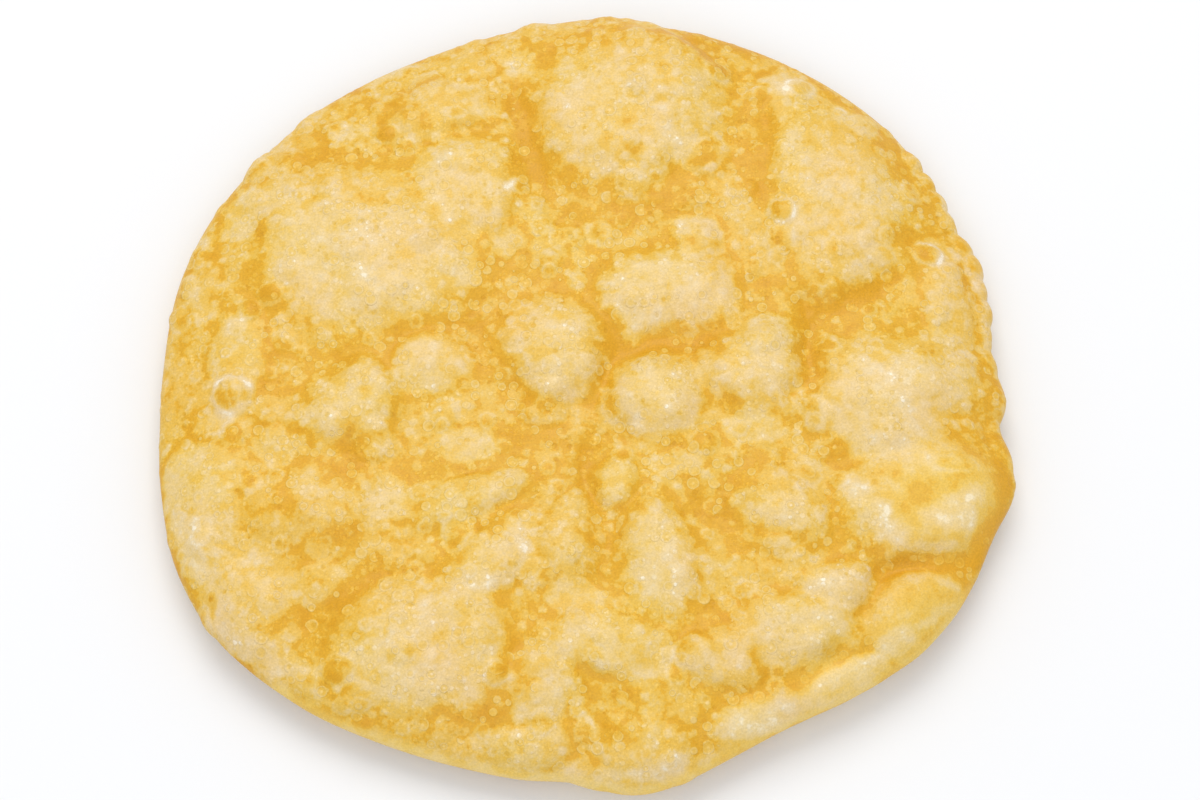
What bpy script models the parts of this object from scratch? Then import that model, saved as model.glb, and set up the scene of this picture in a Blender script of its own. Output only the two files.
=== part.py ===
"""A puri: a round deep-fried flatbread, puffed into a low uneven cushion and covered in blisters.

It lies flat as served. The origin is on the surface that it lies on, under the middle of its outline.
+X runs to the right, +Y to the far edge, where the skin is folded over, and +Z up. The bread is one
piece and is modelled solid. Sizes are in millimetres until the mesh is written, in metres.
"""

import math
import random
from collections import namedtuple

import bpy
import numpy as np
from mathutils import Vector, noise

MM = 0.001

# Driving sizes: the widest line around the bread is its rim, where the top skin meets the underside.
# The rim waves up and down: waves in a full turn, height, and where the first one starts.
RIM_RADIUS = 63.6
RIM_HEIGHT = 5.4
RIM_WAVES = ((2, 0.4, 2.4), (3, -0.35, 0.4))
CROWN_HEIGHT = 12.0
CROWN_FLATNESS = 4.2
CROWN_ROUNDNESS = 0.5
FOOT_GAP = 0.9
FOOT_SHARE = 0.8
UNDER_FLATNESS = 2.0
UNDER_ROUNDNESS = 0.5

# Length of a facet's edge on the top and on the underside, and how fast facets grow between the two.
TOP_FACET = 1.8
UNDER_FACET = 3.4
FACET_GROWTH = 1.12
FEWEST_IN_RING = 6

# The mean rim circle's centre in the finished part's frame, so that the origin is mid-outline.
CENTRE_X = -0.3
CENTRE_Y = 0.2

# How the skin's outline swells or draws in: direction in degrees from +X, half width, and reach.
Lobe = namedtuple("Lobe", "angle half_width reach")
RIM_LOBES = (
    Lobe(5, 4, -1.3),
    Lobe(18, 4, 0.5),
    Lobe(24, 3, -0.8),
    Lobe(42, 18, 1.2),
    Lobe(110, 24, -1.7),
    Lobe(135, 10, 0.3),
    Lobe(163, 16, 1.3),
    Lobe(212, 22, 4.4),
    Lobe(255, 14, -1.2),
    Lobe(269, 6, -1.2),
    Lobe(277, 7, 1.3),
    Lobe(298, 11, -1.8),
    Lobe(327, 16, 2.5),
    Lobe(334, 7, 0.5),
    Lobe(345, 6, 2.8),
    Lobe(352, 3, -1.1),
    Lobe(357, 3, 0.8),
)

# Puffed cushions of skin on the top: middle, half length and width, turn in degrees, and height.
Cushion = namedtuple("Cushion", "x y length width turn height")
TOP_CUSHIONS = (
    # Far edge
    Cushion(6, 43, 14, 12.5, 0, 2.2),
    Cushion(-23, 44.5, 10, 5.5, 25, 1.3),
    Cushion(-19, 31, 8, 8, 0, 1.6),
    Cushion(30, 47, 5.5, 5, 0, 1.1),
    Cushion(-47, 30, 5.5, 5, 0, 1.0),
    # Left side
    Cushion(-33.5, 20.5, 17, 13, -25, 2.3),
    Cushion(-34.5, -5.5, 7, 6, 0, 1.9),
    Cushion(-23.5, 1.5, 5.5, 4.5, 0, 1.3),
    Cushion(-53, 3, 4.5, 8, 0, 1.0),
    Cushion(-42, -22, 8.5, 5, 10, 1.3),
    Cushion(-56, -22, 5.5, 9.5, 10, 1.2),
    Cushion(-49, -38, 6.5, 5.5, -30, 1.2),
    # Middle
    Cushion(11.5, 13.5, 9.5, 6.5, 0, 1.6),
    Cushion(-4, 3, 7.5, 8.5, 25, 2.2),
    Cushion(10.5, -4.5, 6, 6.5, 0, 1.9),
    Cushion(26, 0.5, 8.5, 6, 10, 2.0),
    Cushion(5, -18.5, 3.7, 3.6, 0, 1.2),
    Cushion(11, -28, 6, 8, 10, 1.8),
    Cushion(-2, -27, 3.8, 7, -10, 1.4),
    Cushion(-14, -30.5, 9, 5.5, 35, 1.5),
    Cushion(-17, -20.5, 8, 3, 8, 1.2),
    Cushion(30, -22.5, 6.5, 6, 0, 1.6),
    # Right side
    Cushion(40, 29, 10.5, 16, 12, 2.0),
    Cushion(56, 10, 4, 9, 10, 0.9),
    Cushion(46.5, -3.5, 12.5, 10, 15, 2.5),
    Cushion(50.5, -19.5, 11, 8.5, 0, 2.5),
    Cushion(48.5, -38.5, 8, 6.5, 40, 1.7),
    Cushion(37, -49, 9, 3, 32, 1.0),
    # Near edge
    Cushion(-22, -43, 11.5, 10, 0, 2.1),
    Cushion(-6, -49, 5, 5, 0, 1.2),
    Cushion(2, -43, 8, 5, 0, 1.4),
    Cushion(20, -45, 6, 5, 0, 1.5),
    Cushion(31, -40, 9, 5, 12, 1.8),
    Cushion(37.5, -34, 5, 4, 0, 1.2),
    Cushion(27, -53, 9.5, 3.5, 20, 1.2),
    Cushion(-8, -58, 6, 3.5, 0, 1.1),
    Cushion(9, -58.5, 7, 3.5, 0, 1.1),
)
# The higher these are, the flatter a cushion's top, and the sharper the valley where two meet.
CUSHION_FLATNESS = 2.0
VALLEY_SHARPNESS = 4

# Cushions and creases flatten out over this width, to this share of their height at the rim.
RIM_FADE = 7.0
RIM_SHARE = 0.25
# The top's relief wraps around the rim and ends this far under it.
RIM_WRAP = 4.5

# Sunken lines between cushions: the points that the line runs through, its depth and half width.
Crease = namedtuple("Crease", "points depth half_width")
TOP_CREASES = (
    Crease(((57, -29), (52, -29.5), (47, -31), (43.5, -32.5)), 1.0, 1.7),
    Crease(((43.5, -32.5), (42, -36), (40, -40), (36, -44)), 0.8, 1.8),
    Crease(((-10, -3), (-5, -6.5), (1, -5.5), (4.5, 1), (9, 3), (18, 4)), 0.5, 2.0),
    Crease(((34, 8), (37, 10), (41, 12), (46, 14.5)), 0.9, 2.4),
    Crease(((34, 11), (34.5, 5), (34, -3)), 0.9, 1.9),
    Crease(((1, -11), (0.5, -20), (2, -26), (2, -33.5)), 0.6, 2.0),
    Crease(((-11, 47), (-9, 38), (-4, 27), (-2, 23)), 0.6, 2.6),
    Crease(((28, 31), (29, 38), (28, 46)), 0.7, 1.9),
    Crease(((-30, -32), (-35, -36.5), (-40, -39), (-46, -41)), 0.4, 2.6),
    Crease(((20, -22), (24, -25.5), (32, -27.5)), 0.5, 1.8),
)

# Round blisters that stand out singly on the top: middle, radius and height.
Blister = namedtuple("Blister", "x y radius height")
TOP_BLISTERS = (
    Blister(30.5, 26, 2.5, 0.8),
    Blister(-53, -4, 3.6, 1.0),
    Blister(-52.5, -10, 2.4, 0.6),
    Blister(53, 20, 2.6, 0.8),
    Blister(-31, 40, 2.2, 0.6),
    Blister(-28, 37.5, 2.0, 0.6),
    Blister(-48, 12.5, 2.3, 0.6),
    Blister(-51, 10, 2.0, 0.6),
    Blister(18, -12, 2.4, 0.6),
    Blister(-6, -54.5, 2.3, 0.6),
    Blister(21, 51, 2.5, 0.6),
    Blister(34, 49, 2.8, 0.6),
    Blister(-35.5, -46.5, 2.9, 0.6),
    Blister(-12.5, -47.5, 2.3, 0.6),
)

# The skin stays smooth inside these circles, which the scattered blisters keep out of.
SMOOTH_PLACES = ((51, -20, 11), (50, -40, 11), (38, -50, 8), (26, -57, 6))

# Blisters scattered over both faces: how many, the radii between which they lie, height per radius.
SEED = 17
TOP_SCATTER = 170
UNDER_SCATTER = 120
SCATTER_RADII = (1.9, 4.2)
SCATTER_HEIGHT = 0.17
SCATTER_STEEPNESS = (0.7, 1.3)
SCATTER_OVERLAP = 0.8

# A row of beads stands along part of the rim: first and last direction, and how many.
BEAD_FROM, BEAD_TO, BEAD_COUNT = 3, 36, 10
BEAD_RADIUS = 2.4
BEAD_HEIGHT = 0.65
BEAD_SIZES = (0.8, 1.2)
BEAD_INSET = 1.2

# The folded skin at the far edge stands over the rim beside it: edge line, rise and spread.
FOLD_START = (9.5, 64.0)
FOLD_END = (21.0, 51.5)
FOLD_RISE = 2.4
FOLD_SHARPNESS = 0.6
FOLD_SPREAD = 13.0

# Cushions on the underside: the wide one that the bread stands on, and smaller ones all around it.
FOOT_CUSHION = Cushion(0, 0, 25, 22, 0, 2.4)
UNDER_CUSHION_COUNT = 30
UNDER_CUSHION_SIZES = (5.0, 11.0)
UNDER_CUSHION_WIDTHS = (0.6, 1.0)
UNDER_CUSHION_HEIGHTS = (0.9, 2.2)
UNDER_CUSHION_OVERLAP = 0.75

# The skin's own slow waver, which keeps cushions from being true ellipses: wavelength and reach.
WARPS = ((15.0, 2.2), (6.0, 0.6))
UNEVEN_LENGTH = 9.0
UNEVEN_HEIGHT = 0.5
# Which layer of the noise each face, and its unevenness, is drawn from.
TOP_LAYER, UNDER_LAYER = 0, 100
UNEVEN_LAYER = 40

CRUST_COLOUR = (0.84, 0.55, 0.14, 1.0)
CRUST_ROUGHNESS = 0.42


def rim_radius(angles):
    """Distance of the rim from its centre, for directions in radians."""
    degrees = np.degrees(angles)
    reach = np.zeros_like(degrees)
    for lobe in RIM_LOBES:
        off = (degrees - lobe.angle + 180) % 360 - 180
        reach += lobe.reach * np.exp(-((off / lobe.half_width) ** 2))
    return RIM_RADIUS + reach


def rim_height(angles):
    """Height of the rim, for directions in radians."""
    return RIM_HEIGHT + sum(height * np.sin(waves * angles + start) for waves, height, start in RIM_WAVES)


def crown_share(share):
    """How high the top skin is at a share of the radius: 1 in the middle, 0 at the rim."""
    return (1 - share**CROWN_FLATNESS) ** CROWN_ROUNDNESS


def under_share(share):
    """How high the underside is at a share of the radius: 0 over the foot, 1 at the rim."""
    out = np.maximum(share - FOOT_SHARE, 0) / (1 - FOOT_SHARE)
    return 1 - np.maximum(1 - out**UNDER_FLATNESS, 0) ** UNDER_ROUNDNESS


class Section:
    """The bread cut through its middle, followed along the skin from the crown to the underside."""

    SAMPLES = 600
    NORMAL_STEP = 0.05

    def __init__(self):
        shares = np.sin(np.linspace(0, math.pi / 2, self.SAMPLES))
        top_heights = RIM_HEIGHT + (CROWN_HEIGHT - RIM_HEIGHT) * crown_share(shares)
        under_heights = FOOT_GAP + (RIM_HEIGHT - FOOT_GAP) * under_share(shares)
        x = RIM_RADIUS * np.concatenate([shares, shares[-2::-1]])
        z = np.concatenate([top_heights, under_heights[-2::-1]])
        steps = np.hypot(np.diff(x), np.diff(z))
        self.distance = np.concatenate([[0.0], np.cumsum(steps)])
        self.share = np.concatenate([shares, shares[-2::-1]])
        self.level = np.concatenate([crown_share(shares), under_share(shares)[-2::-1]])
        self.rim = self.distance[self.SAMPLES - 1]
        self.end = self.distance[-1]

    def share_at(self, distance):
        return np.interp(distance, self.distance, self.share)

    def points(self, distance, angles):
        """Places on the plain skin, before any cushion or blister."""
        radius = rim_radius(angles) * self.share_at(distance)
        level = np.interp(distance, self.distance, self.level)
        rim = rim_height(angles)
        top = rim + (CROWN_HEIGHT - rim) * level
        under = FOOT_GAP + (rim - FOOT_GAP) * level
        height = np.where(distance <= self.rim, top, under)
        return np.stack([radius * np.cos(angles), radius * np.sin(angles), height], axis=1)

    def normals(self, distance, angles):
        """Outward directions of the plain skin."""
        small = self.NORMAL_STEP
        along = self.points(np.minimum(distance + small, self.end), angles)
        along -= self.points(np.maximum(distance - small, 0), angles)
        around = self.points(distance, angles + small) - self.points(distance, angles - small)
        outward = np.cross(along, around)
        length = np.linalg.norm(outward, axis=1)
        pole = (distance < small) | (distance > self.end - small)
        outward[pole] = np.where(distance[pole] < small, 1.0, -1.0)[:, None] * np.array([0, 0, 1.0])
        length[pole] = 1.0
        return outward / length[:, None]

    def on_skin(self, x, y):
        """A place seen from straight above, as a place on the top skin laid flat."""
        angle = math.atan2(y, x)
        share = math.hypot(x, y) / float(rim_radius(np.array([angle]))[0])
        half = self.SAMPLES
        distance = np.interp(min(share, 1.0), self.share[:half], self.distance[:half])
        return distance * math.cos(angle), distance * math.sin(angle)


def noise_at(u, v, wavelength, layer):
    """Smooth noise from about -1 to 1 at each place."""
    return np.array([noise.noise(Vector((a, b, layer))) for a, b in zip(u / wavelength, v / wavelength)])


def wavered(u, v, layer):
    """The places moved about by the skin's slow waver."""
    for step, (wavelength, reach) in enumerate(WARPS):
        u = u + reach * noise_at(u, v, wavelength, layer + 10 * step)
        v = v + reach * noise_at(u, v, wavelength, layer + 10 * step + 5)
    return u, v


def on_wavered_skin(section, x, y):
    """A place seen from straight above, as a place on the top skin after its waver."""
    u, v = section.on_skin(x, y)
    moved_u, moved_v = wavered(np.array([u]), np.array([v]), TOP_LAYER)
    return float(moved_u[0]), float(moved_v[0])


def cushion_relief(u, v, cushions):
    """Height of the highest cushion at each place, with soft valleys where cushions meet."""
    total = np.zeros_like(u)
    for cushion in cushions:
        turn = math.radians(cushion.turn)
        du, dv = u - cushion.x, v - cushion.y
        along = (du * math.cos(turn) + dv * math.sin(turn)) / cushion.length
        across = (dv * math.cos(turn) - du * math.sin(turn)) / cushion.width
        far = along**2 + across**2
        total += (cushion.height * np.exp(-(far**CUSHION_FLATNESS))) ** VALLEY_SHARPNESS
    return total ** (1 / VALLEY_SHARPNESS)


def blister_relief(u, v, blisters):
    """Height of the highest blister at each place."""
    high = np.zeros_like(u)
    for blister in blisters:
        near = np.flatnonzero((abs(u - blister.x) < blister.radius) & (abs(v - blister.y) < blister.radius))
        far = ((u[near] - blister.x) ** 2 + (v[near] - blister.y) ** 2) / blister.radius**2
        high[near] = np.maximum(high[near], blister.height * np.maximum(1 - far, 0))
    return high


def distance_to_line(u, v, points):
    """Distance of each place from a line through the points."""
    nearest = np.full_like(u, np.inf)
    for (ax, ay), (bx, by) in zip(points, points[1:]):
        dx, dy = bx - ax, by - ay
        share = np.clip(((u - ax) * dx + (v - ay) * dy) / (dx * dx + dy * dy), 0, 1)
        nearest = np.minimum(nearest, np.hypot(u - ax - share * dx, v - ay - share * dy))
    return nearest


def crease_relief(u, v, creases):
    """How far the creases sink the skin at each place, as heights below 0."""
    low = np.zeros_like(u)
    for crease in creases:
        far = distance_to_line(u, v, crease.points) / crease.half_width
        low = np.minimum(low, -crease.depth * np.exp(-(far**2)))
    return low


def fold_relief(u, v):
    """The folded skin at the far edge: it rises to the fold's line and drops sharply past it."""
    (ax, ay), (bx, by) = FOLD_START, FOLD_END
    length = math.hypot(bx - ax, by - ay)
    along_x, along_y = (bx - ax) / length, (by - ay) / length
    side = (u - ax) * along_y - (v - ay) * along_x
    past = (u - ax) * along_x + (v - ay) * along_y
    edge = 0.5 + 0.5 * np.tanh(side / (2 * FOLD_SHARPNESS))
    spread = np.exp(-((np.maximum(side, 0) / FOLD_SPREAD) ** 2))
    fade = np.exp(-((np.maximum(past, 0) / length) ** 4))
    return FOLD_RISE * edge * spread * fade


def rim_fade(inside):
    """Share of the relief's height that is left at a distance inside the rim."""
    share = np.clip(inside / RIM_FADE, 0, 1)
    return RIM_SHARE + (1 - RIM_SHARE) * share * share * (3 - 2 * share)


def scattered(rng, count, reach, smooth_places, taken):
    """Seeded blisters inside the reach: most are small, and they overlap only a little."""
    smallest, largest = SCATTER_RADII
    found = []
    while len(found) < count:
        radius = smallest * (largest / smallest) ** (rng.random() ** 2)
        distance, angle = reach * math.sqrt(rng.random()), 2 * math.pi * rng.random()
        x, y = distance * math.cos(angle), distance * math.sin(angle)
        smooth = any(math.hypot(x - px, y - py) < r for px, py, r in smooth_places)
        crowded = any(
            math.hypot(x - b.x, y - b.y) < SCATTER_OVERLAP * (radius + b.radius) for b in [*taken, *found]
        )
        height = SCATTER_HEIGHT * radius * rng.uniform(*SCATTER_STEEPNESS)
        if not smooth and not crowded:
            found.append(Blister(x, y, radius, height))
    return found


def rim_beads(section, rng):
    """The row of beads along the right-hand rim, as places on the top skin laid flat."""
    beads = []
    for step in range(BEAD_COUNT):
        angle = math.radians(BEAD_FROM + (BEAD_TO - BEAD_FROM) * step / (BEAD_COUNT - 1))
        size = rng.uniform(*BEAD_SIZES)
        distance = section.rim - BEAD_INSET
        place = (distance * math.cos(angle), distance * math.sin(angle))
        beads.append(Blister(*place, BEAD_RADIUS * size, BEAD_HEIGHT * size))
    return beads


def under_cushions(section, rng):
    """The cushion that the bread stands on and the smaller ones scattered around it."""
    cushions = [FOOT_CUSHION]
    while len(cushions) <= UNDER_CUSHION_COUNT:
        length = rng.uniform(*UNDER_CUSHION_SIZES)
        distance, angle = (section.end - section.rim) * math.sqrt(rng.random()), 2 * math.pi * rng.random()
        x, y = distance * math.cos(angle), distance * math.sin(angle)
        crowded = any(
            math.hypot(x - c.x, y - c.y) < UNDER_CUSHION_OVERLAP * (length + c.length) for c in cushions
        )
        if not crowded:
            width, turn = length * rng.uniform(*UNDER_CUSHION_WIDTHS), rng.uniform(0, 180)
            cushions.append(Cushion(x, y, length, width, turn, rng.uniform(*UNDER_CUSHION_HEIGHTS)))
    return cushions


def top_relief(section, u, v):
    """Height of the top skin's cushions, creases, fold and blisters above the plain skin."""
    rng = random.Random(SEED)
    moved_u, moved_v = wavered(u, v, TOP_LAYER)
    cushions = [c._replace(**dict(zip("xy", on_wavered_skin(section, c.x, c.y)))) for c in TOP_CUSHIONS]
    creases = [c._replace(points=[on_wavered_skin(section, *p) for p in c.points]) for c in TOP_CREASES]
    singles = [b._replace(**dict(zip("xy", section.on_skin(b.x, b.y)))) for b in TOP_BLISTERS]
    beads = rim_beads(section, rng)
    blisters = scattered(rng, TOP_SCATTER, section.rim, SMOOTH_PLACES, singles + beads)
    height = cushion_relief(moved_u, moved_v, cushions)
    height += crease_relief(moved_u, moved_v, creases)
    height += fold_relief(u, v)
    height += UNEVEN_HEIGHT * noise_at(u, v, UNEVEN_LENGTH, TOP_LAYER + UNEVEN_LAYER)
    height *= rim_fade(section.rim - np.hypot(u, v))
    return height + blister_relief(u, v, [*singles, *beads, *blisters])


def under_relief(section, u, v):
    """Height of the underside's cushions and blisters, measured outwards, which is down."""
    rng = random.Random(SEED + 1)
    moved_u, moved_v = wavered(u, v, UNDER_LAYER)
    height = cushion_relief(moved_u, moved_v, under_cushions(section, rng))
    height += UNEVEN_HEIGHT * noise_at(u, v, UNEVEN_LENGTH, UNDER_LAYER + UNEVEN_LAYER)
    reach = section.end - section.rim
    height *= rim_fade(reach - np.hypot(u, v))
    return height + blister_relief(u, v, scattered(rng, UNDER_SCATTER, reach, (), []))


def ring_rows(section):
    """Where the mesh has a ring of points: distance along the skin from the crown, and facet length."""
    count = round(section.rim / TOP_FACET)
    rows = [(section.rim * step / count, TOP_FACET) for step in range(1, count + 1)]
    distance, facet = section.rim + TOP_FACET, TOP_FACET
    while distance + 0.5 * facet < section.end:
        rows.append((distance, facet))
        facet = min(facet * FACET_GROWTH, UNDER_FACET)
        distance += facet
    return rows


def zipped(inner, outer, turn):
    """Triangles between two rings of points, each a list of (angle, index) around the same centre."""
    faces = []
    i = j = 0
    while i < len(inner) or j < len(outer):
        next_inner = inner[(i + 1) % len(inner)][0] + turn * ((i + 1) // len(inner))
        next_outer = outer[(j + 1) % len(outer)][0] + turn * ((j + 1) // len(outer))
        a, b = inner[i % len(inner)][1], outer[j % len(outer)][1]
        if j < len(outer) and (i >= len(inner) or next_outer <= next_inner):
            j += 1
            faces.append((a, b, outer[j % len(outer)][1]))
        else:
            i += 1
            faces.append((a, b, inner[i % len(inner)][1]))
    return faces


def skin_mesh(section):
    """Rings of points from the crown around the rim to the foot: (distances, angles, faces)."""
    full_turn = 2 * math.pi
    distances, angles, faces = [0.0], [0.0], []
    inner = [(0.0, 0)]
    for step, (distance, facet) in enumerate(ring_rows(section)):
        around = full_turn * RIM_RADIUS * float(section.share_at(distance))
        count = max(FEWEST_IN_RING, round(around / facet))
        outer = []
        for k in range(count):
            angle = full_turn * (k + 0.5 * (step % 2)) / count
            outer.append((angle, len(distances)))
            distances.append(distance)
            angles.append(angle)
        faces += zipped(inner, outer, full_turn) if step else fan(0, outer)
        inner = outer
    last = len(distances)
    distances.append(section.end)
    angles.append(0.0)
    faces += [face[::-1] for face in fan(last, inner)]
    return np.array(distances), np.array(angles), faces


def fan(middle, ring):
    """Triangles from one point to the ring around it, facing up."""
    return [(middle, a[1], b[1]) for a, b in zip(ring, ring[1:] + ring[:1])]


def skin_relief(section, distance, angles):
    """Height of all relief above the plain skin: the top's, then the underside's past the rim."""
    past = np.clip((distance - section.rim) / RIM_WRAP, 0, 1)
    top_share = 1 - past * past * (3 - 2 * past)
    height = np.zeros_like(distance)
    top, under = top_share > 0, top_share < 1
    u, v = distance * np.cos(angles), distance * np.sin(angles)
    height[top] = top_share[top] * top_relief(section, u[top], v[top])
    inward = section.end - distance
    u, v = inward * np.cos(angles), inward * np.sin(angles)
    height[under] += (1 - top_share[under]) * under_relief(section, u[under], v[under])
    return height


def puri_mesh():
    """The bread as one closed mesh."""
    section = Section()
    distance, angles, faces = skin_mesh(section)
    points = section.points(distance, angles)
    points += section.normals(distance, angles) * skin_relief(section, distance, angles)[:, None]
    points += np.array([CENTRE_X, CENTRE_Y, 0.0])
    points[:, 2] = np.maximum(points[:, 2], 0.0)
    mesh = bpy.data.meshes.new("puri")
    mesh.from_pydata((points * MM).tolist(), [], faces)
    mesh.shade_smooth()
    return mesh


def crust_material():
    material = bpy.data.materials.new("fried_crust")
    material.use_nodes = True
    shader = material.node_tree.nodes["Principled BSDF"]
    shader.inputs["Base Color"].default_value = CRUST_COLOUR
    shader.inputs["Roughness"].default_value = CRUST_ROUGHNESS
    shader.inputs["Metallic"].default_value = 0.0
    return material


def main():
    for old in list(bpy.data.objects):
        bpy.data.objects.remove(old, do_unlink=True)
    mesh = puri_mesh()
    mesh.materials.append(crust_material())
    puri = bpy.data.objects.new("puri", mesh)
    bpy.context.scene.collection.objects.link(puri)


main()
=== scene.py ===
"""The looks of the puri: its fried skin with cushions, creases and blisters, on a white floor.

The skin repeats the solid's form from the same named sizes and seeds, on a much finer mesh, and adds
the small bubbles that the solid is too coarse for. Sizes are in millimetres until the mesh is written,
in metres. The frame's +X runs to the right in the picture, +Y away from the camera, and +Z up.
"""

import math
import random
from collections import namedtuple

import bpy
import numpy as np
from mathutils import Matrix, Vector, noise


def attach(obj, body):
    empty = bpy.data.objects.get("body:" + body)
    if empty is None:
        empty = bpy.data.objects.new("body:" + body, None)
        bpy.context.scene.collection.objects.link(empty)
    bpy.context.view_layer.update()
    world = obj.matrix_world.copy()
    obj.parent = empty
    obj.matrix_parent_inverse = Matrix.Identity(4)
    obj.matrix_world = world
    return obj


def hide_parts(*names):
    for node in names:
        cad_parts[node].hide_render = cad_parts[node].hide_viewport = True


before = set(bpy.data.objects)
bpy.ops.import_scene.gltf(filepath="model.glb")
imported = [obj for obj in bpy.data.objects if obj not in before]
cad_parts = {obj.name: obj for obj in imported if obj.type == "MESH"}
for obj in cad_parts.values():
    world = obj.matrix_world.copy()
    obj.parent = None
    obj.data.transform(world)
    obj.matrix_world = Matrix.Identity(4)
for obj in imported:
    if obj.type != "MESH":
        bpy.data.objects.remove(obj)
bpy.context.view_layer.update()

MM = 0.001

# The plain form, as in the solid: the widest line around the bread is its rim, where the top skin
# meets the underside. The rim waves up and down: waves in a full turn, height, and where they start.
RIM_RADIUS = 63.6
RIM_HEIGHT = 5.4
RIM_WAVES = ((2, 0.4, 2.4), (3, -0.35, 0.4))
CROWN_HEIGHT = 12.0
CROWN_FLATNESS = 4.2
CROWN_ROUNDNESS = 0.5
FOOT_GAP = 0.9
FOOT_SHARE = 0.8
UNDER_FLATNESS = 2.0
UNDER_ROUNDNESS = 0.5

# The mean rim circle's centre in the frame.
CENTRE_X = -0.3
CENTRE_Y = 0.2

# The fine mesh: length of a facet's edge on the top and on the underside, and how fast it grows.
TOP_FACET = 0.43
UNDER_FACET = 1.1
FACET_GROWTH = 1.03
FEWEST_IN_RING = 6

# How the outline swells or draws in: direction in degrees from +X, half width, and reach.
Lobe = namedtuple("Lobe", "angle half_width reach")
RIM_LOBES = (
    Lobe(5, 4, -1.3),
    Lobe(18, 4, 0.5),
    Lobe(24, 3, -0.8),
    Lobe(42, 18, 1.2),
    Lobe(110, 24, -1.7),
    Lobe(135, 10, 0.3),
    Lobe(163, 16, 1.3),
    Lobe(212, 22, 4.4),
    Lobe(255, 14, -1.2),
    Lobe(269, 6, -1.2),
    Lobe(277, 7, 1.3),
    Lobe(298, 11, -1.8),
    Lobe(327, 16, 2.5),
    Lobe(334, 7, 0.5),
    Lobe(345, 6, 2.8),
    Lobe(352, 3, -1.1),
    Lobe(357, 3, 0.8),
)

# Puffed cushions of skin: middle, half length and width, turn in degrees, height, and how pale the
# skin is, from 0, the deep colour of the valleys, to 1, cream.
Cushion = namedtuple("Cushion", "x y length width turn height pale")
TOP_CUSHIONS = (
    # Far edge
    Cushion(6, 43, 14, 12.5, 0, 2.2, 0.72),
    Cushion(-23, 44.5, 10, 5.5, 25, 1.3, 0.5),
    Cushion(-19, 31, 8, 8, 0, 1.6, 0.66),
    Cushion(30, 47, 5.5, 5, 0, 1.1, 0.46),
    Cushion(-47, 30, 5.5, 5, 0, 1.0, 0.52),
    # Left side
    Cushion(-33.5, 20.5, 17, 13, -25, 2.3, 0.78),
    Cushion(-34.5, -5.5, 7, 6, 0, 1.9, 0.74),
    Cushion(-23.5, 1.5, 5.5, 4.5, 0, 1.3, 0.76),
    Cushion(-53, 3, 4.5, 8, 0, 1.0, 0.64),
    Cushion(-42, -22, 8.5, 5, 10, 1.3, 0.3),
    Cushion(-56, -22, 5.5, 9.5, 10, 1.2, 0.55),
    Cushion(-49, -38, 6.5, 5.5, -30, 1.2, 0.62),
    # Middle
    Cushion(11.5, 13.5, 9.5, 6.5, 0, 1.6, 0.88),
    Cushion(-4, 3, 7.5, 8.5, 25, 2.2, 0.7),
    Cushion(10.5, -4.5, 6, 6.5, 0, 1.9, 0.78),
    Cushion(26, 0.5, 8.5, 6, 10, 2.0, 0.74),
    Cushion(5, -18.5, 3.7, 3.6, 0, 1.2, 0.44),
    Cushion(11, -28, 6, 8, 10, 1.8, 0.78),
    Cushion(-2, -27, 3.8, 7, -10, 1.4, 0.56),
    Cushion(-14, -30.5, 9, 5.5, 35, 1.5, 0.7),
    Cushion(-17, -20.5, 8, 3, 8, 1.2, 0.56),
    Cushion(30, -22.5, 6.5, 6, 0, 1.6, 0.76),
    # Right side
    Cushion(40, 29, 10.5, 16, 12, 2.0, 0.68),
    Cushion(56, 10, 4, 9, 10, 0.9, 0.6),
    Cushion(46.5, -3.5, 12.5, 10, 15, 2.5, 0.88),
    Cushion(50.5, -19.5, 11, 8.5, 0, 2.5, 0.4),
    Cushion(48.5, -38.5, 8, 6.5, 40, 1.7, 0.5),
    Cushion(37, -49, 9, 3, 32, 1.0, 0.56),
    # Near edge
    Cushion(-22, -43, 11.5, 10, 0, 2.1, 0.78),
    Cushion(-6, -49, 5, 5, 0, 1.2, 0.62),
    Cushion(2, -43, 8, 5, 0, 1.4, 0.68),
    Cushion(20, -45, 6, 5, 0, 1.5, 0.7),
    Cushion(31, -40, 9, 5, 12, 1.8, 0.8),
    Cushion(37.5, -34, 5, 4, 0, 1.2, 0.82),
    Cushion(27, -53, 9.5, 3.5, 20, 1.2, 0.8),
    Cushion(-8, -58, 6, 3.5, 0, 1.1, 0.42),
    Cushion(9, -58.5, 7, 3.5, 0, 1.1, 0.6),
)
# The higher these are, the flatter a cushion's top, and the sharper the valley where two meet.
CUSHION_FLATNESS = 2.0
VALLEY_SHARPNESS = 4

# Cushions and creases flatten out over this width, to this share of their height at the rim.
RIM_FADE = 7.0
RIM_SHARE = 0.25
# The top's relief wraps around the rim and ends this far under it.
RIM_WRAP = 4.5

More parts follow.
